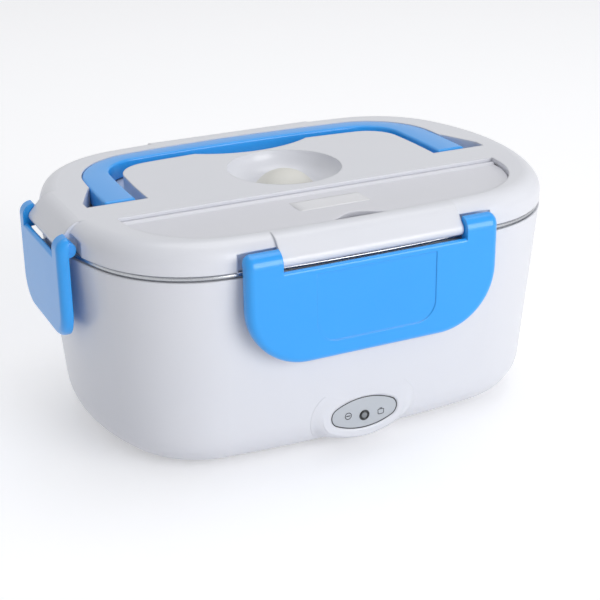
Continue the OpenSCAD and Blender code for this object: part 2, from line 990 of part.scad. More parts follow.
// Section of a hinge bar: the bar, a rib behind it and an apron that slopes up to the lid's rounding
module bar_section() {
    out = [cos(apron_turn), sin(apron_turn)];
    skin = lid_wall + bite;
    rib_in = hinge_out + lid_wall + 1.3;
    circle(bar_r);
    polygon([
        [0, -bar_r],
        [rib_in, -bar_r],
        [rib_in, edge_c[1]],
        edge_c + (lid_edge_r - skin) * out,
        edge_c + lid_edge_r * out,
        bar_r * out
    ]);
    intersection() {
        translate(edge_c)
            difference() {
                circle(lid_edge_r);
                circle(lid_edge_r - skin);
            }
        translate([0, edge_c[1]])
            square([edge_c[0], lid_edge_r + past]);
    }
    translate([edge_c[0] - bite, edge_c[1] + lid_edge_r - skin])
        square([side_bow, skin]);
}
module bar_bores(half) {
    mirrored_x()
        rod_x(half - stud_l - free_gap, stud_l + past, stud_r + pin_fit);
}
// Cups in the lid's edge that the latch ears turn in
module ear_cups(half, ear, g) {
    mirrored_x()
        rod_x(half - ear - g, ear + ear_gap + 2 * g, ear_r + ear_gap + g);
}
module all_cups(g) {
    for (side = [-1, 1])
        at_long(side)
            ear_cups(long_half, long_ear, g);
    at_left()
        ear_cups(short_half, short_ear, g);
}
// Room that the liner and its seal leave for the cups
module cups_room() {
    intersection() {
        all_cups(pocket_wall + seat_gap);
        translate([0, 0, lid_z - rest_gap])
            linear_extrude(lid_h)
                outline();
    }
}

module lid_pockets(g) {
    translate([0, 0, pocket_z - g])
        linear_extrude(g > 0 ? lid_top - pocket_z + g - lid_wall / 2 : pocket_d + past)
            groove(g);
    translate([0, 0, pocket_z - g])
        linear_extrude((g > 0 ? cover_top : seat_z) - pocket_z + g)
            tray(g > 0 ? -g : ledge_w, g > 0 ? g - ridge_y : -ridge_y);
    vent_bowl(g);
}

module lid_shell() {
    // Front edge of the scoop that the cover's rear edge swings in
    scoop_y = cover_axis_y - 3 * cover_t;
    color("whitesmoke") centred()
        difference() {
            union() {
                around()
                    difference() {
                        lid_inside(0, lid_edge_r + lap + lid_wall, lid_z);
                        lid_inside(lid_wall, ring_d, lid_z - past);
                    }
                translate([0, 0, lid_top - lid_wall])
                    linear_extrude(lid_wall)
                        outline(lid_edge_r);
                lid_pockets(pocket_wall);
                for (side = [-1, 1])
                    at_long(side)
                        along_x(long_bar)
                            bar_section();
                at_left()
                    along_x(short_bar)
                        bar_section();
                intersection() {
                    lid_solid();
                    all_cups(pocket_wall);
                }
                mirrored_x() {
                    translate([0, handle_pivot_y, handle_axis_z])
                        rod_x(stud_face - handle_stud_in - pocket_wall, handle_stud_in + pocket_wall,
                            handle_stud_r + pocket_wall);
                    translate([0, cover_axis_y, cover_axis_z])
                        rod_x(cover_end, cover_stud_l + 2 * bore_wall, cover_stud_r + bore_wall);
                }
            }
            all_cups(0);
            lid_pockets(0);
            translate([0, 0, seat_z])
                linear_extrude(lid_top - seat_z + past)
                    tray(0, -ridge_y);
            translate([0, 0, pocket_z])
                linear_extrude(pocket_d + past) {
                    intersection() {
                        tray(0, -ridge_y);
                        notch();
                    }
                    intersection() {
                        tray(0, -ridge_y);
                        translate([-half_len, scoop_y])
                            square([2 * half_len, half_wid]);
                    }
                }
            translate([0, vent_y, pocket_z - pocket_wall - past])
                cylinder(h = pocket_wall + 2 * past, r = stem_r + seat_gap);
            mirrored_x() {
                translate([0, handle_pivot_y, handle_axis_z])
                    rod_x(stud_face - handle_stud_in - free_gap, handle_stud_in + past,
                        handle_stud_r + pin_fit);
                translate([0, cover_axis_y, cover_axis_z])
                    rod_x(cover_end - past, cover_stud_l + free_gap + past, cover_stud_r + pin_fit);
            }
            for (side = [-1, 1])
                at_long(side)
                    bar_bores(long_bar);
            at_left()
                bar_bores(short_bar);
        }
}

module lid_liner() {
    nest_h = 4;
    nest_t = 1.4;
    color("white") centred()
        difference() {
            union() {
                translate([0, 0, liner_z])
                    linear_extrude(liner_t)
                        outline(lid_wall + pocket_wall + seat_gap);
                translate([0, 0, liner_z - nest_h])
                    linear_extrude(nest_h)
                        difference() {
                            outline(nest_off);
                            outline(nest_off + nest_t);
                        }
            }
            translate([0, vent_y, liner_z - past])
                cylinder(h = liner_t + 2 * past, r = stem_r + seat_gap);
            cups_room();
        }
}

// Seal round the liner's rim, it rests on the container's rim inside the rolled bead
module lid_gasket() {
    gasket_z = cont_top + rest_gap;
    color("lightcyan") centred()
        difference() {
            translate([0, 0, gasket_z])
                linear_extrude(liner_z - gasket_z)
                    difference() {
                        outline(lid_wall + pocket_wall + 2 * seat_gap);
                        outline(nest_off - seat_gap);
                    }
            cups_room();
        }
}

module spoon() {
    bowl_l = 22;
    bowl_end = 10;
    stalk_w = 5;
    stalk_lap = 3;
    spoon_y = -(ridge_y + tray_y - ledge_w) / 2;
    rest_z = pocket_z + seat_gap;
    // Depth of the bowl, so that the spoon stays under its cover
    sink = cover_top - cover_t - free_gap - spoon_t - rest_z;
    ball_r = (bowl_l * bowl_l + sink * sink) / (2 * sink);
    color("silver") centred()
        translate([-spoon_l / 2 + bowl_l, spoon_y, rest_z]) {
            intersection() {
                difference() {
                    translate([0, 0, ball_r])
                        sphere(ball_r, $fn = 96);
                    translate([0, 0, ball_r])
                        sphere(ball_r - spoon_t, $fn = 96);
                }
                linear_extrude(sink + spoon_t)
                    oval(bowl_l, spoon_w, bowl_end);
            }
            translate([bowl_l - stalk_lap, -stalk_w / 2, sink - spoon_t])
                cube([spoon_l - 2 * bowl_l - stalk_w / 2 + stalk_lap, stalk_w, spoon_t]);
            translate([spoon_l - bowl_l - stalk_w / 2, 0, sink - spoon_t])
                cylinder(h = spoon_t, r = stalk_w / 2);
        }
}

module spoon_cover() {
    color("ghostwhite") centred() {
        translate([0, 0, cover_top - cover_t])
            linear_extrude(cover_t)
                difference() {
                    tray(free_gap, cover_axis_y);
                    notch();
                }
        translate([0, cover_axis_y, cover_axis_z]) {
            rod_x(-cover_end, 2 * cover_end, cover_t / 2);
            rod_x(-cover_end - cover_stud_l, 2 * cover_end + 2 * cover_stud_l, cover_stud_r);
        }
    }
}

module vent_plug() {
    ball_r = (plug_r * plug_r + plug_h * plug_h) / (2 * plug_h);
    base_z = pocket_z + free_gap;
    color("oldlace") centred()
        translate([0, vent_y, 0]) {
            intersection() {
                translate([0, 0, base_z + plug_h - ball_r])
                    sphere(ball_r);
                translate([0, 0, base_z])
                    cylinder(h = plug_h + past, r = plug_r + past);
            }
            translate([0, 0, liner_z])
                cylinder(h = base_z - liner_z + bite, r = stem_r);
        }
}

// Carry handle

module strap_section() {
    translate([-strap_w, handle_in_z])
        for (i = [0, 1], j = [0, 1])
            translate([
                i == 0 ? strap_round : strap_w - strap_round,
                j == 0 ? strap_round : strap_t - strap_round
            ])
                circle(strap_round);
    translate([-strap_w + strap_round, handle_in_z])
        square([strap_w - 2 * strap_round, strap_t]);
    translate([-strap_w, handle_in_z + strap_round])
        square([strap_w, strap_t - 2 * strap_round]);
}

module carry_handle() {
    // How much narrower the arms' rounded ends are than the strap, on each side
    arm_trim = 0.4;
    color("cornflowerblue") centred() {
        intersection() {
            bowed_sweep(handle_l, handle_y, handle_r, handle_bow_l, handle_bow_w)
                strap_section();
            translate([-half_len, handle_pivot_y, pocket_z])
                cube([2 * half_len, half_wid, pocket_d]);
        }
        mirrored_x()
            translate([0, handle_pivot_y, handle_axis_z]) {
                intersection() {
                    rod_x(handle_l - strap_w + arm_trim, strap_w - 2 * arm_trim, strap_t / 2);
                    translate([0, -strap_t, -strap_t])
                        cube([handle_l, strap_t, 2 * strap_t]);
                }
                rod_x(stud_face - handle_stud_in, handle_stud_in + groove_gap + strap_w / 2,
                    handle_stud_r);
            }
    }
}

// Latches, drawn at their hinge axis: local X along the bar, -Y outwards, Z up

// Face of the latch drawn in by d, with rounded lower corners
module latch_face(half, drop, r, d, top) {
    intersection() {
        union() {
            translate([-half + d, -drop + r])
                square([2 * (half - d), drop - r + top]);
            translate([-half + r, -drop + d])
                square([2 * (half - r), drop - d]);
            for (s = [-1, 1])
                translate([s * (half - r), -drop + r])
                    circle(r - d);
        }
        translate([-half, -drop])
            square([2 * half, drop + top]);
    }
}

// Section of a latch's edge with its rounded corner: x = 0 on the outline, minus inwards, front at ear_r
module latch_edge(inner, back) {
    intersection() {
        union() {
            translate([-latch_round, ear_r - latch_round])
                circle(latch_round);
            translate([-inner, back])
                square([inner - latch_round, ear_r - back]);
            translate([-inner, back])
                square([inner, ear_r - latch_round - back]);
        }
        translate([-inner, back])
            square([inner + past, ear_r]);
    }
}

// Solid latch with rounded front edges, drawn flat: up along Y, its front at Z = ear_r.
// The ears turn the same edge section round the hinge axis.
module latch_block(half, ear, drop, r) {
    inner = 3 * lap;
    mirrored_x() {
        translate([half, 0, 0])
            rotate([90, 0, 0])
                linear_extrude(drop - r)
                    latch_edge(inner, free_gap);
        translate([half - r, r - drop, 0])
            rotate_extrude(start = 270, angle = 90, $fn = corner_fn)
                translate([r, 0])
                    latch_edge(inner, free_gap);
        translate([half, 0, 0])
            rotate([0, 90, 0])
                rotate_extrude(start = 90, angle = 90)
                    mirror([1, -1])
                        latch_edge(ear - ear_gap, 0);
    }
    translate([half - r, -drop, 0])
        rotate([90, 0, -90])
            linear_extrude(2 * (half - r))
                latch_edge(inner, free_gap);
    translate([0, 0, free_gap])
        linear_extrude(ear_r - free_gap)
            latch_face(half, drop, r, inner - 1, 0);
}

module latch(half, ear, low_z, r) {
    drop = hinge_z - low_z;
    bar = half - ear;
    gap_half = bar + ear_gap;
    // Centre of the rounded top edge of the face, under the bar
    top_z = -bar_r - ear_gap - latch_t / 2;
    // Solid part of the ears below the axis
    ear_low = bar_r + 2;
    hook_z = rim_z - catch_drop - catch_h - free_gap - hinge_z;
    hook_h = 2.2;
    hook_half = bar - hook_short;
    hook_tip = catch_out - hinge_out - hook_in;
    difference() {
        union() {
            rotate([90, 0, 0])
                latch_block(half, ear, drop, r);
            mirrored_x()
                rod_x(gap_half, ear - ear_gap - latch_round / 2, bar_r + ear_gap);
        }
        difference() {
            from_front(latch_t - ear_r, ear_r)
                latch_face(half, drop, r, latch_side, 0);
            mirrored_x()
                translate([gap_half, -ear_r, -ear_low])
                    cube([ear, 2 * ear_r, ear_low + past]);
        }
        translate([-gap_half, -ear_r - past, top_z - lap])
            cube([2 * gap_half, 2 * ear_r, lap + 2 * ear_r]);
    }
    along_x(gap_half) {
        translate([latch_t / 2 - ear_r, top_z])
            circle(latch_t / 2);
        translate([-ear_r, top_z - 2 * lap])
            square([latch_t, 2 * lap]);
    }
    mirrored_x()
        rod_x(bar - stud_l, stud_l + ear / 2, stud_r);
    translate([-hook_half, latch_t - ear_r - bite, hook_z - hook_h])
        cube([2 * hook_half, ear_r - latch_t + bite - hook_tip, hook_h]);
}

// Front and back latch, with a shallow panel sunk into the face
module long_latch() {
    drop = hinge_z - long_z;
    // Margins of the panel below the hinge bar, above the lower edge and at the sides
    under = 3.4;
    above = 8;
    beside = 30;
    panel_r = 9;
    difference() {
        latch(long_half, long_ear, long_z, long_r);
        from_front(-ear_r - past, past + latch_sunk)
            latch_face(long_half - beside, drop - above, panel_r, 0, -bar_r - under);
    }
}

module front_latch() {
    color("dodgerblue") centred()
        at_long(-1)
            long_latch();
}
module back_latch() {
    color("dodgerblue") centred()
        at_long(1)
            long_latch();
}
module left_latch() {
    color("dodgerblue") centred()
        at_left()
            latch(short_half, short_ear, short_z, short_r);
}

outer_shell();
inner_well();
rubber_feet();
case_screws();
heating_plate();
ptc_heater();
heater_clamp();
clamp_screws();
thermostat();
thermal_fuse();
indicator_board();
indicator_led();
lamp_panel();
lamp_lens();
inlet_socket();
inlet_pins();
food_container();
side_dish();
side_dish_cover();
lid_shell();
lid_liner();
lid_gasket();
spoon();
spoon_cover();
vent_plug();
carry_handle();
front_latch();
back_latch();
left_latch();
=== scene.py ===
import bpy
import bmesh
import math
import numpy as np
from mathutils import Matrix, Vector


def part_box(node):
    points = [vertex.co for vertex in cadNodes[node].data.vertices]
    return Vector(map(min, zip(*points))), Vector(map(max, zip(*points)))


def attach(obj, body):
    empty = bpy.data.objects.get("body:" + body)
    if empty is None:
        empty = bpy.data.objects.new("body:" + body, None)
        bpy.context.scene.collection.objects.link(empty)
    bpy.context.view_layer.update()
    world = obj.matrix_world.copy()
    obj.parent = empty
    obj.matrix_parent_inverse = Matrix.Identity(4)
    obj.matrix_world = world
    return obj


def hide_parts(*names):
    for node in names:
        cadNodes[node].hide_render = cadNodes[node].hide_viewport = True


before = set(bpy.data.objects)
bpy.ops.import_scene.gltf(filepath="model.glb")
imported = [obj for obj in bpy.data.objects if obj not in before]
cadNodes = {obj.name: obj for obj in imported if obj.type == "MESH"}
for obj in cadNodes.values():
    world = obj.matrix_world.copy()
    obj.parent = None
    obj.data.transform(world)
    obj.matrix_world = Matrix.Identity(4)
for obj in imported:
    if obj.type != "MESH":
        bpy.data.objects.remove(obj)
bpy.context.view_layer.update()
print("frame loaded:", len(cadNodes), "nodes")

mm = 0.001
middleX = (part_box("front_latch")[0].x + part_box("front_latch")[1].x) / 2  # middle of the housing


# Small helpers for materials

def linearColour(hexText):  # sRGB hex to the linear values that Blender works in
    values = [int(hexText[i:i + 2], 16) / 255 for i in (1, 3, 5)]
    return [v / 12.92 if v <= 0.04045 else ((v + 0.055) / 1.055) ** 2.4 for v in values] + [1.0]


def addNode(tree, kind, inputs=None, **settings):  # one node with its settings, values and links
    node = tree.nodes.new(kind)
    for key, value in settings.items():
        setattr(node, key, value)
    for key, value in (inputs or {}).items():
        if isinstance(value, bpy.types.NodeSocket):
            tree.links.new(value, node.inputs[key])
        else:
            node.inputs[key].default_value = value
    return node


def startMaterial(name):
    material = bpy.data.materials.new(name)
    material.use_nodes = True
    material.node_tree.nodes.clear()
    return material, material.node_tree


def finishMaterial(tree, shader):
    addNode(tree, "ShaderNodeOutputMaterial", {"Surface": shader.outputs[0]})


def placedPattern(tree, stretch=(1, 1, 1)):  # object coordinates, stretched
    place = addNode(tree, "ShaderNodeTexCoord")
    return addNode(tree, "ShaderNodeMapping", {"Vector": place.outputs["Object"], "Scale": stretch}).outputs[0]


def waveScale(stepMm):  # scale at which one wave is two pi steps long
    return 1 / (stepMm * mm) / 20


def twoTone(tree, factor, look):  # colour that moves between the look's two tones
    return addNode(tree, "ShaderNodeMix", {0: factor, 6: linearColour(look["colour"]),
                   7: linearColour(look["deep"])}, data_type="RGBA").outputs[2]


def mouldedPlastic(name, look):
    # moulded plastic: an even colour with a slow drift, a gloss that varies a little and softened edges
    material, tree = startMaterial(name)
    where = placedPattern(tree)
    drift = addNode(tree, "ShaderNodeTexNoise", {"Vector": where, "Scale": 1 / (look["driftMm"] * mm),
                    "Detail": 2.0})
    skin = addNode(tree, "ShaderNodeTexNoise", {"Vector": where, "Scale": 1 / (look["skinMm"] * mm),
                   "Detail": 1.0})
    rough = addNode(tree, "ShaderNodeMapRange", {0: skin.outputs[0], 1: 0.3, 2: 0.7,
                    3: look["rough"], 4: look["rough"] + look["skinGloss"]})
    edges = addNode(tree, "ShaderNodeBevel", {"Radius": look["edgeMm"] * mm}, samples=8)
    shader = addNode(tree, "ShaderNodeBsdfPrincipled", {"Base Color": twoTone(tree, drift.outputs[0], look),
                     "Roughness": rough.outputs[0], "Normal": edges.outputs[0], "IOR": 1.5,
                     "Coat Weight": look.get("coat", 0.0), "Coat Roughness": 0.12,
                     "Transmission Weight": look.get("clear", 0.0),
                     "Subsurface Weight": look.get("scatter", 0.0), "Subsurface Scale": 0.002,
                     "Subsurface Radius": (1.0, 1.0, 1.0)})
    finishMaterial(tree, shader)
    return material


def workedMetal(name, look):
    # drawn or brushed sheet: fine scratches along one way stretch the highlights across them
    material, tree = startMaterial(name)
    grain = addNode(tree, "ShaderNodeTexNoise", {"Vector": placedPattern(tree, look["stretch"]),
                    "Scale": 1 / (look["grainMm"] * mm), "Detail": 4.0})
    rough = addNode(tree, "ShaderNodeMapRange", {0: grain.outputs[0], 1: 0.3, 2: 0.7,
                    3: look["rough"] - 0.06, 4: look["rough"] + 0.08})
    bump = addNode(tree, "ShaderNodeBump", {"Height": grain.outputs[0], "Distance": 0.03 * mm, "Strength": 0.4})
    shader = addNode(tree, "ShaderNodeBsdfPrincipled", {"Base Color": twoTone(tree, grain.outputs[0], look),
                     "Metallic": 1.0, "Roughness": rough.outputs[0], "Normal": bump.outputs[0]})
    finishMaterial(tree, shader)
    return material


def turnedMetal(name, look):
    # turned on a lathe: fine rings round the middle, each a shade lighter or darker
    material, tree = startMaterial(name)
    rings = addNode(tree, "ShaderNodeTexWave", {"Vector": placedPattern(tree), "Scale": waveScale(look["ringMm"]),
                    "Distortion": 0.4, "Detail": 1.0}, wave_type="RINGS", rings_direction="Z")
    bump = addNode(tree, "ShaderNodeBump", {"Height": rings.outputs[1], "Distance": 0.04 * mm, "Strength": 0.5})
    rough = addNode(tree, "ShaderNodeMapRange", {0: rings.outputs[1], 3: look["rough"] - 0.05,
                    4: look["rough"] + 0.08})
    shader = addNode(tree, "ShaderNodeBsdfPrincipled", {"Base Color": twoTone(tree, rings.outputs[1], look),
                     "Metallic": 1.0, "Roughness": rough.outputs[0], "Normal": bump.outputs[0]})
    finishMaterial(tree, shader)
    return material


def wovenBoard(name, look):
    # glass cloth under a lacquer: a fine square weave shows through as lighter threads
    material, tree = startMaterial(name)
    where = placedPattern(tree)
    threads = [addNode(tree, "ShaderNodeTexWave", {"Vector": where, "Scale": waveScale(look["threadMm"])},
               wave_type="BANDS", bands_direction=way) for way in ("X", "Z")]
    weave = addNode(tree, "ShaderNodeMath", {0: threads[0].outputs[1], 1: threads[1].outputs[1]},
                    operation="MULTIPLY")
    bump = addNode(tree, "ShaderNodeBump", {"Height": weave.outputs[0], "Distance": 0.02 * mm, "Strength": 0.4})
    shader = addNode(tree, "ShaderNodeBsdfPrincipled", {"Base Color": twoTone(tree, weave.outputs[0], look),
                     "Roughness": look["rough"], "Normal": bump.outputs[0]})
    finishMaterial(tree, shader)
    return material


# Looks of the plastics and metals

def plasticLook(colour, deep, rough, driftMm=30, skinMm=9, skinGloss=0.01, edgeMm=0.3, **more):
    # two tones and the size of their patches, roughness, the size and gain of its patches, and the edges' radius
    return dict(colour=colour, deep=deep, rough=rough, driftMm=driftMm, skinMm=skinMm, skinGloss=skinGloss,
                edgeMm=edgeMm, **more)


plasticLooks = {
    # clean cool white, even gloss
    "glossyWhiteABS": plasticLook("#E8E9EF", "#E2E4EB", 0.30, driftMm=60, edgeMm=1.0, coat=0.2),
    # duller white of the parts inside
    "satinWhitePP": plasticLook("#E4E5E9", "#DCDEE3", 0.42, driftMm=50),
    # bright sky blue with a clear shine
    "glossyBlueABS": plasticLook("#2CA9FE", "#24A2FA", 0.28, driftMm=50, edgeMm=0.8, coat=0.3),
    # a shade greyer than the lid round it
    "spoonCoverABS": plasticLook("#E6E6ED", "#E0E1E8", 0.34, driftMm=40, coat=0.1),
    # warm off-white, soft and matt
    "creamSilicone": plasticLook("#E9E8E2", "#E1E0D9", 0.55, driftMm=20, skinMm=0.8),
    # milky seal that lets some light in
    "clearSilicone": plasticLook("#E3E8EA", "#D6DDE0", 0.45, driftMm=20, scatter=0.3),
    # pale grey panel, nearly matt
    "greyPolycarbonate": plasticLook("#C6CAD0", "#BFC4CA", 0.40, driftMm=20, skinMm=0.6),
    # glossy black ring
    "blackPolycarbonate": plasticLook("#121417", "#191B1E", 0.22, driftMm=20, skinMm=0.8),
    # grey glassy middle of the ring
    "smokedLens": plasticLook("#8C9094", "#84888C", 0.18, driftMm=4, skinMm=0.5),
    # thin dark print
    "blackPrintInk": plasticLook("#24272C", "#2C2F34", 0.5, driftMm=4, skinMm=0.3),
    # bright white film
    "whiteLabelFilm": plasticLook("#F0F0F3", "#EAEAEE", 0.38, driftMm=14, skinMm=0.5),
    # dull dark grey feet
    "darkFootRubber": plasticLook("#3B3D40", "#323437", 0.75, driftMm=8, skinMm=0.5),
    # orange-brown wrap of the heater
    "amberHeaterFilm": plasticLook("#A8561C", "#8F4413", 0.3, driftMm=6, skinMm=3),
    # hard brown-black switch case
    "blackPhenolic": plasticLook("#232120", "#2C2927", 0.45, driftMm=5, skinMm=0.5),
    # ivory glaze
    "glazedCeramic": plasticLook("#EDE9DF", "#E3DED2", 0.22, driftMm=5, skinMm=1.5),
    # clear red lamp body
    "redLampEpoxy": plasticLook("#D8392A", "#C22C20", 0.15, driftMm=2, skinMm=0.6, clear=0.3),
    # black with grey flecks from glass fibre
    "speckledBlackNylon": plasticLook("#202326", "#2B2E31", 0.5, driftMm=1.2, skinMm=0.4),
    # frosted, faintly blue
    "frostedDishPP": plasticLook("#DDE9F2", "#D2E0EB", 0.4, driftMm=30, scatter=0.35),
    # pale blue, a little clear
    "paleBlueCoverPP": plasticLook("#8CC8F2", "#7FBEEB", 0.36, driftMm=30, scatter=0.2),
}


def metalLook(colour, deep, rough, grainMm=0.8, stretch=(1, 1, 12)):
    # two tones, roughness, the grain's size and how far it is squeezed along X, Y and Z
    return dict(colour=colour, deep=deep, rough=rough, grainMm=grainMm, stretch=stretch)


metalLooks = {
    # soft upright streaks in grey steel
    "drawnStainlessSteel": metalLook("#C4C6CA", "#B4B7BB", 0.26),
    # bright steel with long faint streaks
    "polishedSpoonSteel": metalLook("#D2D3D6", "#C4C6C9", 0.16, grainMm=2.0, stretch=(0.2, 1, 1)),
    # bluish grey, finely mottled
    "zincPlatedSteel": metalLook("#B9BCC2", "#A5A9B0", 0.34, grainMm=0.6, stretch=(1, 1, 1)),
    # dark bluish strip
    "blueSpringSteel": metalLook("#8D949E", "#79808B", 0.32, grainMm=0.8, stretch=(0.1, 1, 1)),
    # silver with a warm tinge
    "nickelPlatedBrass": metalLook("#CFC9B4", "#C2BBA3", 0.24, grainMm=0.5, stretch=(1, 0.1, 1)),
}
# fine bright rings
plateLook = {"colour": "#C9CBCD", "deep": "#AEB1B4", "rough": 0.34, "ringMm": 0.8}
# green lacquer over a light weave
boardLook = {"colour": "#1E6B45", "deep": "#2A7D54", "rough": 0.3, "threadMm": 0.5}

materials = {name: mouldedPlastic(name, look) for name, look in plasticLooks.items()}
materials.update({name: workedMetal(name, look) for name, look in metalLooks.items()})
materials["turnedAluminium"] = turnedMetal("turnedAluminium", plateLook)
materials["lacqueredGlassBoard"] = wovenBoard("lacqueredGlassBoard", boardLook)

finishOf = {
    "outer_shell": "glossyWhiteABS", "inner_well": "satinWhitePP", "lid_shell": "glossyWhiteABS",
    "lid_liner": "satinWhitePP", "lid_gasket": "clearSilicone", "spoon_cover": "spoonCoverABS",
    "vent_plug": "creamSilicone", "carry_handle": "glossyBlueABS", "front_latch": "glossyBlueABS",
    "back_latch": "glossyBlueABS", "left_latch": "glossyBlueABS", "lamp_panel": "greyPolycarbonate",
    "lamp_lens": "blackPolycarbonate", "food_container": "drawnStainlessSteel", "spoon": "polishedSpoonSteel",
    "rubber_feet": "darkFootRubber", "case_screws": "zincPlatedSteel", "clamp_screws": "zincPlatedSteel",
    "heating_plate": "turnedAluminium", "ptc_heater": "amberHeaterFilm", "heater_clamp": "blueSpringSteel",
    "thermostat": "blackPhenolic", "thermal_fuse": "glazedCeramic", "indicator_board": "lacqueredGlassBoard",
    "indicator_led": "redLampEpoxy", "inlet_socket": "speckledBlackNylon", "inlet_pins": "nickelPlatedBrass",
    "side_dish": "frostedDishPP", "side_dish_cover": "paleBlueCoverPP",
}
for name, node in cadNodes.items():
    node.data.materials.clear()
    node.data.materials.append(materials[finishOf[name]])
print("materials made:", len(materials))


# Meshes from grids of points

def gridFaces(rows, columns, ring=False):  # faces as an array, one row of point numbers for each
    # quads between rows that each close on themselves; a ring also joins the last row to the first
    r, c = np.meshgrid(np.arange(rows if ring else rows - 1), np.arange(columns), indexing="ij")
    up, on = (r + 1) % rows, (c + 1) % columns
    return np.stack([r * columns + c, r * columns + on, up * columns + on, up * columns + c], -1).reshape(-1, 4)


def cappedTube(sections):  # a row of closed sections, with a fan of triangles over each end
    rows, columns = sections.shape[:2]
    k = np.arange(1, columns - 1)
    first, last = np.stack([0 * k, k + 1, k], -1), np.stack([0 * k, k, k + 1], -1) + (rows - 1) * columns
    return sections.reshape(-1, 3), [gridFaces(rows, columns), first, last]


def ringOfSections(sections):  # closed both ways, like a tyre
    return sections.reshape(-1, 3), [gridFaces(*sections.shape[:2], ring=True)]


def joinParts(parts):  # several shapes as one
    points, faces, first = [], [], 0
    for partPoints, partFaces in parts:
        points.append(partPoints)
        faces += [rows + first for rows in partFaces]
        first += len(partPoints)
    return np.vstack(points), faces


def withHeight(xy, height):  # points of a plane with their third value
    return np.concatenate([xy, np.broadcast_to(height, xy.shape[:2] + (1,))], -1)


def addPiece(name, points, faces, finish, body, replaced=()):
    # closes the seams and poles, turns the faces outwards and sets the piece on its body
    mesh = bpy.data.meshes.new(name)
    mesh.from_pydata(points.tolist(), [], [face for rows in faces for face in rows.tolist()])
    work = bmesh.new()
    work.from_mesh(mesh)
    bmesh.ops.remove_doubles(work, verts=work.verts, dist=0.001 * mm)
    bmesh.ops.recalc_face_normals(work, faces=work.faces)
    work.to_mesh(mesh)
    work.free()
    mesh.shade_smooth()
    mesh.materials.append(materials[finish])
    piece = bpy.data.objects.new(name, mesh)
    bpy.context.scene.collection.objects.link(piece)
    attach(piece, body)
    if replaced:
        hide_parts(*replaced)


def onHousing(points):  # from millimetres round the housing's middle to the frame's metres
    return points * mm + np.array([middleX, 0, 0])


def outwards(path):  # unit vectors to the right of a closed path, outwards where it runs anticlockwise
    ahead = np.roll(path, -1, 0) - np.roll(path, 1, 0)
    ahead /= np.linalg.norm(ahead, axis=1, keepdims=True)
    return np.stack([ahead[:, 1], -ahead[:, 0]], -1)


def smoothStep(t):  # rises from 0 to 1 and is level at both ends: three t squared less two t cubed
    return t * t * (3 - 2 * t)


def halfBowed(length, width, corner, endBow, sideBow, startY, counts):
    # half of a rounded rectangle with bulging ends and sides: from startY an end arc, a corner arc and a side arc
    # up to the middle, each tangent to the next, then their mirror image
    cx, cy = length - corner - endBow, width - corner - sideBow
    side = (cx * cx + (corner + sideBow) ** 2 - corner * corner) / (2 * sideBow)
    end = (cy * cy + (corner + endBow) ** 2 - corner * corner) / (2 * endBow)
    turnEnd = math.atan2(cy, cx - (length - end))
    turnSide = math.atan2(cy - (width - side), cx)
    t0 = np.linspace(math.asin(startY / end), turnEnd, counts[0], endpoint=False)
    t1 = np.linspace(turnEnd, turnSide, counts[1], endpoint=False)
    t2 = np.linspace(turnSide, math.pi / 2, counts[2])
    x = np.concatenate([length - end + end * np.cos(t0), cx + corner * np.cos(t1), side * np.cos(t2)])
    y = np.concatenate([end * np.sin(t0), cy + corner * np.sin(t1), width - side + side * np.sin(t2)])
    half = np.stack([x, y], -1)
    return np.vstack([half, half[-2::-1] * [-1, 1]])


def crossRod(x0, x1, y, z, radius, count=32):  # closed rod along X
    t = np.linspace(0, 2 * math.pi, count, endpoint=False)
    ring = np.stack([0 * t, y + radius * np.cos(t), z + radius * np.sin(t)], -1)
    return cappedTube(np.stack([ring + [x0, 0, 0], ring + [x1, 0, 0]]))


# Carry handle: broad arms, a slimmer bar behind, soft edges

# in mm; outer and inner hold half length, half width, corner radius, end bow and side bow, armEnd says how far
# the arms reach past the hinge axis
handleLook = {"outer": (88.3, 62.7, 34, 1.0, 2.5), "inner": (74.6, 53.8, 19, 1.0, 2.5), "hingeY": -0.6,
              "hingeZ": 102.0, "armEnd": 3.4, "endRound": 1.0, "top": 106.9, "topEdge": 1.1, "lowEdge": 1.4,
              "studRadius": 2.2, "studFrom": 66.2, "studTo": 78.6, "counts": (40, 28, 30)}


def roundedSections(inner, outer, low, high, lowEdge, highEdge, steps=5):
    # upright rounded rectangles between an inner and an outer line, one for each pair of their points
    t = np.linspace(0, math.pi / 2, steps)
    room = (high - low) / 2
    a, b = np.minimum(highEdge, room)[:, None], np.minimum(lowEdge, room)[:, None]
    width = np.linalg.norm(outer - inner, axis=1)[:, None]
    high, low = high[:, None], low[:, None]
    across = np.hstack([width - a + a * np.cos(t), a - a * np.sin(t), b - b * np.cos(t), width - b + b * np.sin(t)])
    height = np.hstack([high - a + a * np.sin(t), high - a + a * np.cos(t), low + b - b * np.sin(t),
                        low + b - b * np.cos(t)])
    way = (outer - inner) / width
    return withHeight(inner[:, None] + way[:, None] * across[:, :, None], height[:, :, None])


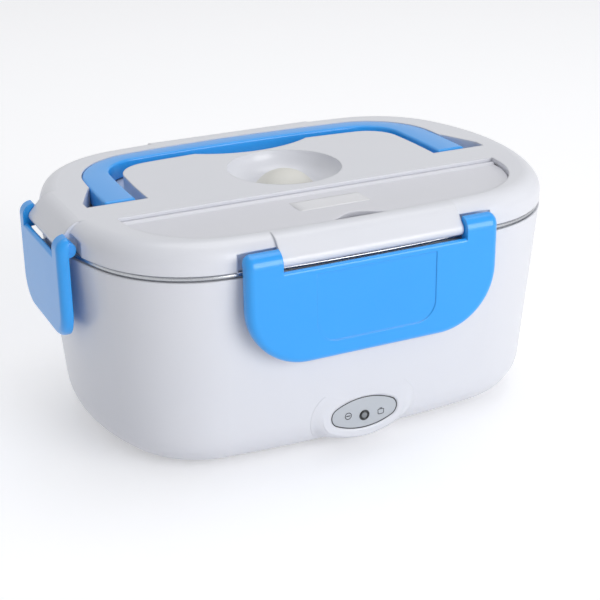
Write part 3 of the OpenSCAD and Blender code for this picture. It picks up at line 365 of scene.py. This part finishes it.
def buildHandle():
    look = handleLook
    start = look["hingeY"] - look["armEnd"]
    outer = halfBowed(*look["outer"], start, look["counts"])
    inner = halfBowed(*look["inner"], start, look["counts"])
    # ahead of the hinge axis the underside follows a circle round it, and the last of the top drops in a small arc
    middle = (outer[:, 1] + inner[:, 1]) / 2
    past = np.clip((look["hingeY"] - middle) / look["armEnd"], 0, 1)
    low = look["hingeZ"] - look["armEnd"] * np.sqrt(1 - past ** 2)
    nearEnd = np.clip(1 - (middle - start) / look["endRound"], 0, 1)
    high = look["top"] - look["endRound"] * (1 - np.sqrt(1 - nearEnd ** 2))
    sections = roundedSections(inner, outer, low, high, look["lowEdge"], look["topEdge"])
    studs = [crossRod(side * look["studFrom"], side * look["studTo"], look["hingeY"], look["hingeZ"],
                      look["studRadius"]) for side in (-1, 1)]
    points, faces = joinParts([cappedTube(sections)] + studs)
    addPiece("softHandle", onHousing(points), faces, "glossyBlueABS", "handle", ["carry_handle"])


buildHandle()
print("handle made")


# Spoon lid: D-shaped plate with a smooth finger notch, a rounded rim and a knuckle along its hinge

# in mm; rim holds half length, front, corner radius, end bow and side bow, riseFrom says where the top begins to
# rise, foot how far in front of the hinge axis the plate begins, rearHalf half of the knuckle's length
coverLook = {"rim": (90.6, 67.6, 37.6, 1.0, 2.0), "rimFrom": 27.0, "top": 104.8, "low": 103.2, "rise": 1.8,
             "riseFrom": 40.0, "edge": 0.5, "hingeY": -26.8, "hingeZ": 104.0, "knuckle": 1.6, "knuckleTurn": 150,
             "rearHalf": 89.55, "foot": 3.2, "notchHalf": 15.5, "notchDepth": 7.6, "studRadius": 0.8,
             "studFrom": 89.0, "studTo": 91.6, "counts": (4, 40, 90)}


def spoonLidTop(y):  # height of the top: level behind, rising smoothly to the rim in front
    front = coverLook["rim"][1]
    share = np.clip((-y - coverLook["riseFrom"]) / (front - coverLook["riseFrom"]), 0, 1)
    return coverLook["top"] + coverLook["rise"] * smoothStep(share)


def buildSpoonLid():
    # each section runs round the hinge knuckle, along the top, over the rounded front rim and back below
    look = coverLook
    rim = halfBowed(*look["rim"], look["rimFrom"], look["counts"]) * [1, -1]
    reach = np.clip(1 - np.abs(rim[:, 0]) / look["notchHalf"], 0, 1)
    rim[:, 1] += look["notchDepth"] * smoothStep(reach)
    along = np.gradient(rim, axis=0)
    along /= np.linalg.norm(along, axis=1, keepdims=True)
    out = np.stack([-along[:, 1], along[:, 0]], -1)
    t = np.linspace(0, math.pi / 2, 5)
    e = look["edge"]
    edgeOut, edgeUp = e * np.sin(t) - e, e * np.cos(t) - e
    front = withHeight(rim[:, None] + out[:, None] * edgeOut[None, :, None],
                       (spoonLidTop(rim[:, 1])[:, None] + edgeUp)[:, :, None])
    under = withHeight(rim[:, None], look["low"])
    rear = np.clip(rim[:, :1], -look["rearHalf"], look["rearHalf"])
    turn = math.radians(look["knuckleTurn"])  # the knuckle is open towards the plate
    a = np.linspace(-turn, turn, 26)
    circle = np.array([look["hingeY"], look["hingeZ"]]) + look["knuckle"] * np.stack([np.cos(a), np.sin(a)], -1)
    knuckle = np.concatenate([np.broadcast_to(rear[:, None], (len(rim), 26, 1)),
                              np.broadcast_to(circle[None], (len(rim), 26, 2))], -1)
    foot = np.stack([rear[:, 0], np.maximum(look["hingeY"] - look["foot"], front[:, 0, 1]),
                     np.full(len(rim), look["top"])], -1)[:, None]
    share = np.linspace(0, 1, 16)[None, 1:-1, None]
    sheet = foot * (1 - share) + front[:, :1] * share
    sheet[:, :, 2] = spoonLidTop(sheet[:, :, 1])
    sections = np.concatenate([knuckle, foot, sheet, front, under], 1)
    studs = [crossRod(side * look["studFrom"], side * look["studTo"], look["hingeY"], look["hingeZ"],
                      look["studRadius"], 20) for side in (-1, 1)]
    points, faces = joinParts([cappedTube(sections)] + studs)
    addPiece("softSpoonLid", onHousing(points), faces, "spoonCoverABS", "cover", ["spoon_cover"])


buildSpoonLid()
print("spoon lid made")


# Boss round the lamp: level near the panel, then a smooth slope down to the housing

panelLow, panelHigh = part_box("lamp_panel")
lampSpot = np.array([middleX, panelLow.y, (panelLow.z + panelHigh.z) / 2])
# in mm; panel holds half length, half height and end radius, within and flat to reach are measured out from it,
# slope says over what way the boss falls, lowest how near the table it may come
bossLook = {"panel": (15.8, 7.2, 4.5), "within": (0.2, 1.5), "flat": 3.5, "reach": 9.5, "steps": 22,
            "slope": 5.6, "lowest": 2.3, "proud": 0.03, "swell": 0.02, "thick": 1.6}
# in mm; the housing's front as the solid has it
shellLook = {"rim": 92.0, "wide": 77.0, "drawIn": 0.08478, "roundZ": 22.0, "roundRadius": 20.0, "roundIn": 26.006,
             "sideArc": 593.0, "tangentZ": 20.31}


def ovalPath(half, height, end, count=30):  # two end arcs and two side arcs, each tangent to the next
    c = half - end
    side = (c * c + height * height - end * end) / (2 * (height - end))
    turn = math.atan2(side - height, c)
    t = np.linspace(0, 1, count, endpoint=False)
    arcs = [(c, 0, end, -turn, turn), (0, height - side, side, turn, math.pi - turn),
            (-c, 0, end, math.pi - turn, math.pi + turn),
            (0, side - height, side, math.pi + turn, 2 * math.pi - turn)]
    return np.vstack([np.stack([cx + r * np.cos(a0 + (a1 - a0) * t), cz + r * np.sin(a0 + (a1 - a0) * t)], -1)
                      for cx, cz, r, a0, a1 in arcs])


def shellFace(x, z):  # Y of the housing's front: tilted wall above, round edge below, bowed along X
    look = shellLook
    below = np.clip(look["roundZ"] - z, -look["roundRadius"], look["roundRadius"])
    inward = np.where(z > look["tangentZ"], (look["rim"] - z) * look["drawIn"],
                      look["roundIn"] - np.sqrt(look["roundRadius"] ** 2 - below ** 2))
    return -(look["wide"] - x * x / (2 * look["sideArc"]) - inward)


def buildBoss():
    # one section for each point of the panel's line: out from it along the boss's face, then back inside the wall
    look = bossLook
    path = ovalPath(*look["panel"])
    s = np.concatenate([look["within"], np.linspace(look["flat"], look["reach"], look["steps"])])
    xz = path[:, None] + outwards(path)[:, None] * s[None, :, None]
    height = np.maximum(xz[:, :, 1] + lampSpot[2] / mm, look["lowest"])
    share = np.clip((s - look["flat"]) / look["slope"], 0, 1)
    face = lampSpot[1] / mm - look["proud"]
    wall = np.maximum(shellFace(xz[:, :, 0], height), face - look["swell"])
    front = np.stack([xz[:, :, 0], face + (wall - face) * smoothStep(share), height], -1)
    back = front[:, [-1, 0]] + np.array([0, look["thick"], 0])
    points, faces = ringOfSections(np.concatenate([front, back], 1))
    addPiece("lampBoss", onHousing(points), faces, "glossyWhiteABS", "housing")


buildBoss()


# Lamp panel: a ringed light and two printed signs

# in mm; drawn flat round the panel's middle, the light lightDrop below it and the signs placed from the light,
# with the third value standing out of the face
lampLook = {"edge": 0.5, "thick": 1.2, "outlineWidth": 0.42, "outlineScale": 0.995, "lightDrop": 1.5,
            "ringRadius": 2.45, "ringHeight": 0.45, "lensRadius": 1.35, "leftSign": (-7.8, 1.2),
            "rightSign": (8.0, 0.2), "signRadius": 1.5, "strokeShare": 0.62, "inkWidth": 0.34, "gripWidth": 0.26,
            "inkHeight": 0.06}


def discFrom(path, profile):  # closed plate: rings of the path, drawn in and lifted by each pair of the profile
    out = outwards(path)
    rings = [np.column_stack([path - out * drawn, np.full(len(path), lift)]) for drawn, lift in profile]
    rings = np.stack([rings[0] * [0, 0, 1]] + rings + [rings[-1] * [0, 0, 1]])
    return rings.reshape(-1, 3), [gridFaces(*rings.shape[:2])]


def onLampFace(name, parts, finish, replaced=(), drop=0):  # flat shapes stood up on the lamp's face
    points, faces = joinParts(parts)
    points = np.stack([points[:, 0], -points[:, 2], points[:, 1] - drop], -1) * mm + lampSpot
    addPiece(name, points, faces, finish, "housing", replaced)


def circlePath(radius, count):  # points round a circle
    t = np.linspace(0, 2 * math.pi, count, endpoint=False)
    return radius * np.stack([np.cos(t), np.sin(t)], -1)


def softCorners(corners, radius, count=6):  # closed outline whose corners are small parabolas
    corners = np.array(corners, float)
    parts = []
    for here, before, after in zip(corners, np.roll(corners, 1, 0), np.roll(corners, -1, 0)):
        a = here + (before - here) / np.linalg.norm(before - here) * radius
        b = here + (after - here) / np.linalg.norm(after - here) * radius
        t = np.linspace(0, 1, count)[:, None]
        parts.append((1 - t) ** 2 * a + 2 * t * (1 - t) * here + t ** 2 * b)
    return np.vstack(parts)


def inkLine(path, width=lampLook["inkWidth"]):  # thin raised line along a closed path, half round in section
    t = np.linspace(0, math.pi, 7)
    xy = path[:, None] + outwards(path)[:, None] * (-np.cos(t) * width / 2)[None, :, None]
    return ringOfSections(withHeight(xy, (np.sin(t) * lampLook["inkHeight"])[None, :, None]))


def buildLamp():
    look = lampLook
    outline = ovalPath(*bossLook["panel"])
    turn, e = np.linspace(0, math.pi / 2, 5), look["edge"]
    plate = [(0, -look["thick"])] + [(e - e * math.cos(a), e * math.sin(a) - e) for a in turn]
    onLampFace("lampPlate", [discFrom(outline, plate)], "greyPolycarbonate", ["lamp_panel"])
    onLampFace("panelOutline", [inkLine(outline * look["outlineScale"], look["outlineWidth"])], "blackPrintInk")
    t = np.linspace(0, math.pi, 12)
    wide = (look["ringRadius"] - look["lensRadius"]) / 2
    ring = circlePath(1, 64)[:, None] * (look["lensRadius"] + wide - np.cos(t) * wide)[None, :, None]
    bezel = ringOfSections(withHeight(ring, (look["ringHeight"] * np.sin(t))[None, :, None]))
    onLampFace("lampBezel", [bezel], "blackPolycarbonate", ["lamp_lens"], look["lightDrop"])
    glass = discFrom(circlePath(look["lensRadius"] + 0.1, 40), [(0, -0.1), (0, 0.1), (0.4, 0.24), (0.9, 0.32)])
    onLampFace("lampGlass", [glass], "smokedLens", drop=look["lightDrop"])
    radius, left, right = look["signRadius"], np.array(look["leftSign"]), np.array(look["rightSign"])
    x, z = radius * look["strokeShare"], 0.04
    stroke = softCorners([(-x, -z), (x, -z), (x, z), (-x, z)], 0.02, 3)
    pot = softCorners([(-1.3, -1.35), (1.3, -1.35), (1.4, 0.9), (-1.4, 0.9)], 0.4)
    grip = softCorners([(-0.5, 1.05), (0.5, 1.05), (0.5, 1.5), (-0.5, 1.5)], 0.15, 4)
    signs = [inkLine(circlePath(radius, 48) + left), inkLine(stroke + left), inkLine(pot + right),
             inkLine(grip + right, look["gripWidth"])]
    onLampFace("lampSigns", signs, "blackPrintInk", drop=look["lightDrop"])


buildLamp()
print("lamp made")


# Blank label on the spoon lid

labelLook = {"half": 16.5, "depth": 6.2, "centre": (-1.0, -41.0), "corner": 1.0, "thick": 0.12}


def buildLabel():
    # rounded rectangle as rings from its middle out, on the cover's height; the last ring turns down into it
    half, depth = labelLook["half"], labelLook["depth"]
    outline = softCorners([(-half, -depth), (half, -depth), (half, depth), (-half, depth)], labelLook["corner"], 8)
    scales = np.array([0.0, 0.25, 0.5, 0.75, 0.995, 1.0])[:, None, None]
    lifts = np.array([1.0, 1.0, 1.0, 1.0, 1.0, -0.2])[:, None, None] * labelLook["thick"]
    xy = outline[None] * scales + np.array(labelLook["centre"])
    points = withHeight(xy, spoonLidTop(xy[:, :, 1:]) + lifts)
    addPiece("blankLabel", onHousing(points.reshape(-1, 3)), [gridFaces(*points.shape[:2])], "whiteLabelFilm",
             "cover")


buildLabel()
print("blank label made")


# Floor, light and camera

stageLook = {"size": 6.0, "floor": "#F4F4F6", "lift": 0.32, "world": 0.42}


def buildStage():
    s = stageLook["size"] / 2
    mesh = bpy.data.meshes.new("paleFloor")
    mesh.from_pydata([(-s, -s, 0), (s, -s, 0), (s, s, 0), (-s, s, 0)], [], [(0, 1, 2, 3)])
    floor = bpy.data.objects.new("paleFloor", mesh)
    bpy.context.scene.collection.objects.link(floor)
    material, tree = startMaterial("paleStudioPaper")  # matt paper that the camera sees as white
    path = addNode(tree, "ShaderNodeLightPath")
    seen = addNode(tree, "ShaderNodeMath", {0: path.outputs["Is Camera Ray"], 1: path.outputs["Is Glossy Ray"]},
                   operation="MAXIMUM")
    lift = addNode(tree, "ShaderNodeMath", {0: seen.outputs[0], 1: stageLook["lift"]}, operation="MULTIPLY")
    paper = addNode(tree, "ShaderNodeBsdfDiffuse", {"Color": linearColour(stageLook["floor"])})
    glow = addNode(tree, "ShaderNodeEmission", {"Strength": lift.outputs[0]})
    both = addNode(tree, "ShaderNodeAddShader", {0: paper.outputs[0], 1: glow.outputs[0]})
    finishMaterial(tree, both)
    mesh.materials.append(material)


def buildWorld():  # the camera, shiny surfaces and glass see white, all else is lit by a dimmer room
    world = bpy.data.worlds.new("paleRoom")
    bpy.context.scene.world = world
    world.use_nodes = True
    tree = world.node_tree
    tree.nodes.clear()
    path = addNode(tree, "ShaderNodeLightPath")
    direct = addNode(tree, "ShaderNodeMath", {0: path.outputs["Is Camera Ray"], 1: path.outputs["Is Glossy Ray"]},
                     operation="MAXIMUM")
    seen = addNode(tree, "ShaderNodeMath", {0: direct.outputs[0], 1: path.outputs["Is Transmission Ray"]},
                   operation="MAXIMUM")
    soft = addNode(tree, "ShaderNodeBackground", {"Color": (0.97, 0.98, 1.0, 1.0), "Strength": stageLook["world"]})
    white = addNode(tree, "ShaderNodeBackground", {"Strength": 1.0})
    mix = addNode(tree, "ShaderNodeMixShader", {0: seen.outputs[0], 1: soft.outputs[0], 2: white.outputs[0]})
    addNode(tree, "ShaderNodeOutputWorld", {"Surface": mix.outputs[0]})


lamps = {
    "frontSoftbox": {"place": (0.6, -1.5, 0.5), "size": 1.0, "watts": 14},
    "topSoftbox": {"place": (0.2, 0.2, 1.6), "size": 1.2, "watts": 7},
    "leftFill": {"place": (-1.6, -0.4, 0.5), "size": 0.9, "watts": 0.4},
}


def buildLamps():  # square softboxes, each turned towards the middle of the box
    for name, lamp in lamps.items():
        data = bpy.data.lights.new(name, "AREA")
        data.size = lamp["size"]
        data.energy = lamp["watts"]
        obj = bpy.data.objects.new(name, data)
        obj.location = lamp["place"]
        aim = Vector((0, 0, 0.05)) - obj.location
        obj.rotation_euler = aim.to_track_quat("-Z", "Y").to_euler()
        bpy.context.scene.collection.objects.link(obj)


# degrees, metres and the lens in mm
shot = {"azimuth": -25.305, "elevation": 22.872, "distance": 0.6556, "target": (middleX + 0.00376, 0, 0.04331),
        "roll": -0.73, "lens": 84.27}


def buildCamera():  # stands back from the target along azimuth and elevation, then leans by the roll
    azimuth, elevation = math.radians(shot["azimuth"]), math.radians(shot["elevation"])
    back = Vector((math.sin(azimuth) * math.cos(elevation), -math.cos(azimuth) * math.cos(elevation),
                   math.sin(elevation)))
    right = (-back).cross(Vector((0, 0, 1))).normalized()
    up = right.cross(-back)
    roll = math.radians(shot["roll"])
    rightTurned = right * math.cos(roll) + up * math.sin(roll)
    upTurned = up * math.cos(roll) - right * math.sin(roll)
    data = bpy.data.cameras.new("photoCamera")
    data.lens = shot["lens"]
    data.sensor_width = 36
    camera = bpy.data.objects.new("photoCamera", data)
    turn = Matrix((rightTurned, upTurned, back)).transposed().to_4x4()
    camera.matrix_world = Matrix.Translation(Vector(shot["target"]) + back * shot["distance"]) @ turn
    bpy.context.scene.collection.objects.link(camera)
    bpy.context.scene.camera = camera


buildStage()
buildWorld()
buildLamps()
buildCamera()
bpy.context.scene.view_settings.view_transform = "Standard"
print("stage, lamps and camera set")
